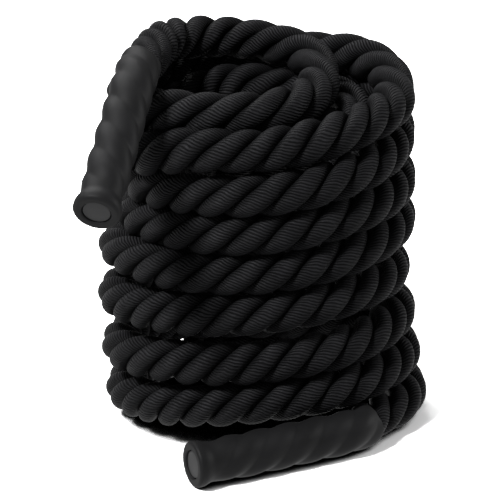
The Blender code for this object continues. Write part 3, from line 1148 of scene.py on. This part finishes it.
    def whipping(self) -> bpy.types.Object:
        """Make the whipping: a band round the strands that the sleeve's neck presses on.

        Returns:
            The whipping.
        """
        last = self.length - self.tape_start
        rings = np.arange(last, last - self.tape_width, -self.ring_step)
        radius, share = self.inside(rings)
        outer = radius - self.tape_gap
        at = np.concatenate([rings, rings[::-1]])
        radii = np.concatenate([outer, outer[::-1] - self.tape_thickness])
        angles, radii = self.lobed(at, radii, np.concatenate([share, share[::-1]]))
        points = self.line.tube(self.from_top(at), angles, radii)
        return self.put_in("whipping_band", "whipping", points, self.tape_finish, [])

    def build(self) -> list[bpy.types.Object]:
        """Make the end's pieces.

        Returns:
            Sleeve, cap and whipping.
        """
        return [self.sleeve(), self.cap(), self.whipping()]


@dataclass(frozen=True)
class Lamp:
    """A soft area lamp: where it stands, how large it is and how strong."""

    name: str
    place: tuple[float, float, float]
    size: float
    power: float
    aim: tuple[float, float, float] = (0.0, 0.05, 0.22)

    def build(self) -> bpy.types.Object:
        """Make the lamp, turned to its aim.

        Returns:
            The lamp.
        """
        data = bpy.data.lights.new(self.name, "AREA")
        data.shape = "DISK"
        data.size = self.size
        data.energy = self.power
        lamp = bpy.data.objects.new(self.name, data)
        away = unit(np.array(self.place) - np.array(self.aim))
        right = unit(np.cross(UP, away))
        turn = Matrix(np.stack([right, np.cross(away, right), away], axis=-1).tolist())
        lamp.matrix_world = Matrix.Translation(self.place) @ turn.to_4x4()
        bpy.context.scene.collection.objects.link(lamp)
        return lamp


@dataclass
class Studio:
    """White floor and surround, soft lamps, and a camera at the photograph's angle.

    The floor is shown in its brighter colour where it lies open, and darkens to a painted contact shade
    where the rope closes it in, read from its ambient occlusion.
    """

    route: RopeRoute
    floor_size: float = 30.0
    floor_colour: Colour = (0.35, 0.35, 0.35)
    floor_shown_colour: Colour = (3.2, 3.2, 3.2)
    # Painted contact shade: the floor's colour where the rope closes it in.
    painted_contact_shade: Colour = (0.006, 0.006, 0.006)
    contact_reach: float = 0.50
    contact_samples: int = 24
    contact_dark: float = 0.16
    contact_steepness: float = 6.0
    contact_power: float = 1.5
    surround_strength: float = 0.10
    image_size: float = 500.0
    field_of_view: float = 12.0
    elevation: float = 18.0
    pixels_per_diameter: float = 40.6
    foot_pixel: tuple[float, float] = (262.0, 408.5)
    lamps: tuple[Lamp, ...] = (
        Lamp("left_lamp", (-1.6, -1.7, 2.7), 0.7, 98.0),
        Lamp("top_lamp", (-0.8, 1.5, 2.3), 2.2, 40.0),
        Lamp("right_lamp", (2.6, 0.6, 1.0), 1.0, 20.0),
    )

    def camera(self) -> bpy.types.Object:
        """Make the camera so that the floor under the coil's axis shows at its pixel, at its scale.

        Returns:
            The camera.
        """
        angle = math.radians(self.elevation)
        right = np.array([1.0, 0.0, 0.0])
        forward = np.array([0.0, math.cos(angle), -math.sin(angle)])
        up = np.cross(right, forward)
        half = self.image_size / 2
        focal = half / math.tan(math.radians(self.field_of_view / 2))
        depth = focal * self.route.rope_diameter / self.pixels_per_diameter
        across = (self.foot_pixel[0] - half) / focal * depth
        upward = -(self.foot_pixel[1] - half) / focal * depth
        foot = np.array([self.route.axis_x, self.route.axis_y, 0.0])
        place = foot - across * right - upward * up - depth * forward
        data = bpy.data.cameras.new("camera")
        data.sensor_fit = "HORIZONTAL"
        data.angle = math.radians(self.field_of_view)
        camera = bpy.data.objects.new("camera", data)
        turn = Matrix(np.stack([right, up, -forward], axis=-1).tolist())
        camera.matrix_world = Matrix.Translation(place.tolist()) @ turn.to_4x4()
        bpy.context.scene.collection.objects.link(camera)
        bpy.context.scene.camera = camera
        return camera

    def floor(self) -> bpy.types.Object:
        """Make the floor: matt, shown brighter to the camera so that only its shadows are below white,
        with painted shade where the rope closes it in.

        Returns:
            The floor.
        """
        half = self.floor_size / 2
        mesh = bpy.data.meshes.new("floor")
        corners = [(-half, -half, 0.0), (half, -half, 0.0), (half, half, 0.0), (-half, half, 0.0)]
        mesh.from_pydata(corners, [], [(0, 1, 2, 3)])
        sheet = ShaderSheet(bpy.data.materials.new("white_floor"))
        rays = sheet.node("ShaderNodeLightPath", {}, {}).outputs
        settings, inputs = {"samples": self.contact_samples}, {"Distance": self.contact_reach}
        # Painted shade: the floor's colour darkens with its ambient occlusion near the rope.
        openness = sheet.node("ShaderNodeAmbientOcclusion", settings, inputs).outputs["AO"]
        above_dark = (Signal(sheet, openness) - self.contact_dark) * self.contact_steepness
        open_share = above_dark.larger(0.0) ** self.contact_power
        shown = sheet.mix_colour(open_share, self.painted_contact_shade, self.floor_shown_colour)
        colour = sheet.mix_colour(Signal(sheet, rays["Is Camera Ray"]), self.floor_colour, shown)
        matt = sheet.node("ShaderNodeBsdfDiffuse", {}, {"Color": colour})
        glow = sheet.node("ShaderNodeEmission", {}, {"Color": (1.0, 1.0, 1.0, 1.0), "Strength": 1.0})
        reflected = Signal(sheet, rays["Is Glossy Ray"]).larger(Signal(sheet, rays["Is Transmission Ray"]))
        inputs = {0: reflected, 1: matt.outputs[0], 2: glow.outputs[0]}
        surface = sheet.node("ShaderNodeMixShader", {}, inputs)
        mesh.materials.append(sheet.finish(surface.outputs[0]))
        floor = bpy.data.objects.new("floor", mesh)
        bpy.context.scene.collection.objects.link(floor)
        return floor

    def surround(self) -> None:
        """Make the world: white where it shows, and a plain grey light on the rope."""
        sheet = ShaderSheet(bpy.data.worlds.new("surround"))
        inputs = {0: sheet.node("ShaderNodeLightPath", {}, {}).outputs["Is Camera Ray"]}
        for number, strength in enumerate((self.surround_strength, 1.0), start=1):
            light = {"Color": (1.0, 1.0, 1.0, 1.0), "Strength": strength}
            inputs[number] = sheet.node("ShaderNodeBackground", {}, light).outputs[0]
        mixed = sheet.node("ShaderNodeMixShader", {}, inputs)
        bpy.context.scene.world = sheet.finish(mixed.outputs[0])

    def build(self) -> None:
        """Set up plain colours, the camera, the floor, the surround and the lamps."""
        bpy.context.scene.view_settings.view_transform = "Standard"
        self.camera()
        self.floor()
        self.surround()
        for lamp in self.lamps:
            lamp.build()


def main() -> None:
    """Build the studio, both grips and the rope."""
    logging.basicConfig(level=logging.INFO, format="%(name)s: %(message)s")
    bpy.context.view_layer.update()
    route = RopeRoute()
    line = RopeLine(route)
    lay = Lay()
    log.info("rope line: %.3f m", line.length)
    Studio(route).build()
    on_the_ends = []
    for end in End:
        on_the_ends += Grip(end, line, lay).build()
    LaidRope(line, lay).build(on_the_ends)


if __name__ == "__main__":
    main()
